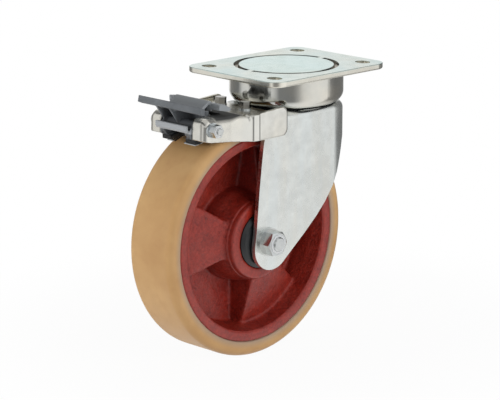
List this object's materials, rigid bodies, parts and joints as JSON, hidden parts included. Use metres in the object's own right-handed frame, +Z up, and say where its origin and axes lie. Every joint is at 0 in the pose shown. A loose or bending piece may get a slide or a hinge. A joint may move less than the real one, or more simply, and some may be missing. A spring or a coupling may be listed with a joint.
{
  "type": "swivel castor",
  "caption": "Top plate swivel castor with a trailing cast iron wheel, bonded polyurethane tread, pressed steel fork and a pedal brake.",
  "frame": {"origin": "middle of the top plate's upper face, on the swivel axis", "axes": "+Z up out of the plate along the swivel axis, +X along the wheel axle towards its nut, -Y towards the brake and the trailing wheel"},
  "size_m": [0.11, 0.2249, 0.237],
  "materials": {
    "zinc_plate": "bright zinc plated",
    "zinc_cup": "bright zinc plated",
    "zinc_fork": "bright zinc plated",
    "zinc_bracket": "bright zinc plated",
    "zinc_bolt": "zinc plated",
    "bearing_steel": "ground and greased",
    "spring_steel": "bright",
    "red_casting": "satin paint on cast iron",
    "tread_urethane": "satin polyurethane",
    "pedal_plastic": "moulded, fine grain",
    "black_plastic": "moulded",
    "pad_rubber": "matt"
  },
  "bodies": {
    "mounting_plate": {"top_plate": "zinc_plate", "swivel_cup": "zinc_cup", "king_pin": "zinc_cup", "upper_race": "bearing_steel"},
    "upper_ball_row": {"upper_balls": "bearing_steel"},
    "lower_ball_row": {"lower_balls": "bearing_steel"},
    "fork": {"fork_head": "bearing_steel", "fork": "zinc_fork", "swivel_seal": "black_plastic", "brake_bracket": "zinc_bracket", "leaf_screw_near": "zinc_bolt", "leaf_screw_far": "zinc_bolt", "leaf_washer_near": "zinc_bolt", "leaf_washer_far": "zinc_bolt", "pedal_bolt": "zinc_bolt", "pedal_washer": "zinc_bolt", "pedal_nut": "zinc_bolt", "axle_bolt": "zinc_bolt", "axle_nut": "zinc_bolt", "axle_washer_near": "zinc_bolt", "axle_washer_far": "zinc_bolt", "axle_sleeve": "bearing_steel", "bearing_inner_near": "bearing_steel", "bearing_inner_far": "bearing_steel"},
    "near_wheel_balls": {"wheel_balls_near": "bearing_steel"},
    "far_wheel_balls": {"wheel_balls_far": "bearing_steel"},
    "wheel": {"bearing_outer_near": "bearing_steel", "bearing_outer_far": "bearing_steel", "bearing_cap_near": "black_plastic", "bearing_cap_far": "black_plastic", "wheel_centre": "red_casting", "tread": "tread_urethane"},
    "pedal": {"pedal": "pedal_plastic", "pedal_pads": "pad_rubber"},
    "brake_leaf": {"brake_leaf": "spring_steel", "brake_lining": "pad_rubber"}
  },
  "joints": [
    {"name": "swivel", "type": "hinge", "parent": "mounting_plate", "child": "fork", "pos_m": [0, 0, -0.02], "axis": [0, 0, 1], "continuous": true},
    {"name": "upper_row_turn", "type": "hinge", "parent": "mounting_plate", "child": "upper_ball_row", "pos_m": [0, 0, -0.0085], "axis": [0, 0, 1], "continuous": true},
    {"name": "lower_row_turn", "type": "hinge", "parent": "mounting_plate", "child": "lower_ball_row", "pos_m": [0, 0, -0.02445], "axis": [0, 0, 1], "continuous": true},
    {"name": "wheel_spin", "type": "hinge", "parent": "fork", "child": "wheel", "pos_m": [0, -0.0574, -0.137], "axis": [1, 0, 0], "continuous": true},
    {"name": "near_balls_turn", "type": "hinge", "parent": "fork", "child": "near_wheel_balls", "pos_m": [0.0205, -0.0574, -0.137], "axis": [1, 0, 0], "continuous": true},
    {"name": "far_balls_turn", "type": "hinge", "parent": "fork", "child": "far_wheel_balls", "pos_m": [-0.0205, -0.0574, -0.137], "axis": [1, 0, 0], "continuous": true},
    {"name": "pedal_rock", "type": "hinge", "parent": "fork", "child": "pedal", "pos_m": [0, -0.118, -0.0343], "axis": [1, 0, 0], "range_deg": [0, 14]},
    {"name": "leaf_press", "type": "hinge", "parent": "fork", "child": "brake_leaf", "pos_m": [0, -0.0628, -0.033], "axis": [1, 0, 0], "range_deg": [0, 1.2]}
  ],
  "couplings": [
    {"joint": "upper_row_turn", "follows": "swivel", "ratio": 0.5},
    {"joint": "lower_row_turn", "follows": "swivel", "ratio": 0.5},
    {"joint": "near_balls_turn", "follows": "wheel_spin", "ratio": 0.6164},
    {"joint": "far_balls_turn", "follows": "wheel_spin", "ratio": 0.6164},
    {"joint": "leaf_press", "follows": "pedal_rock", "ratio": 0.085}
  ]
}
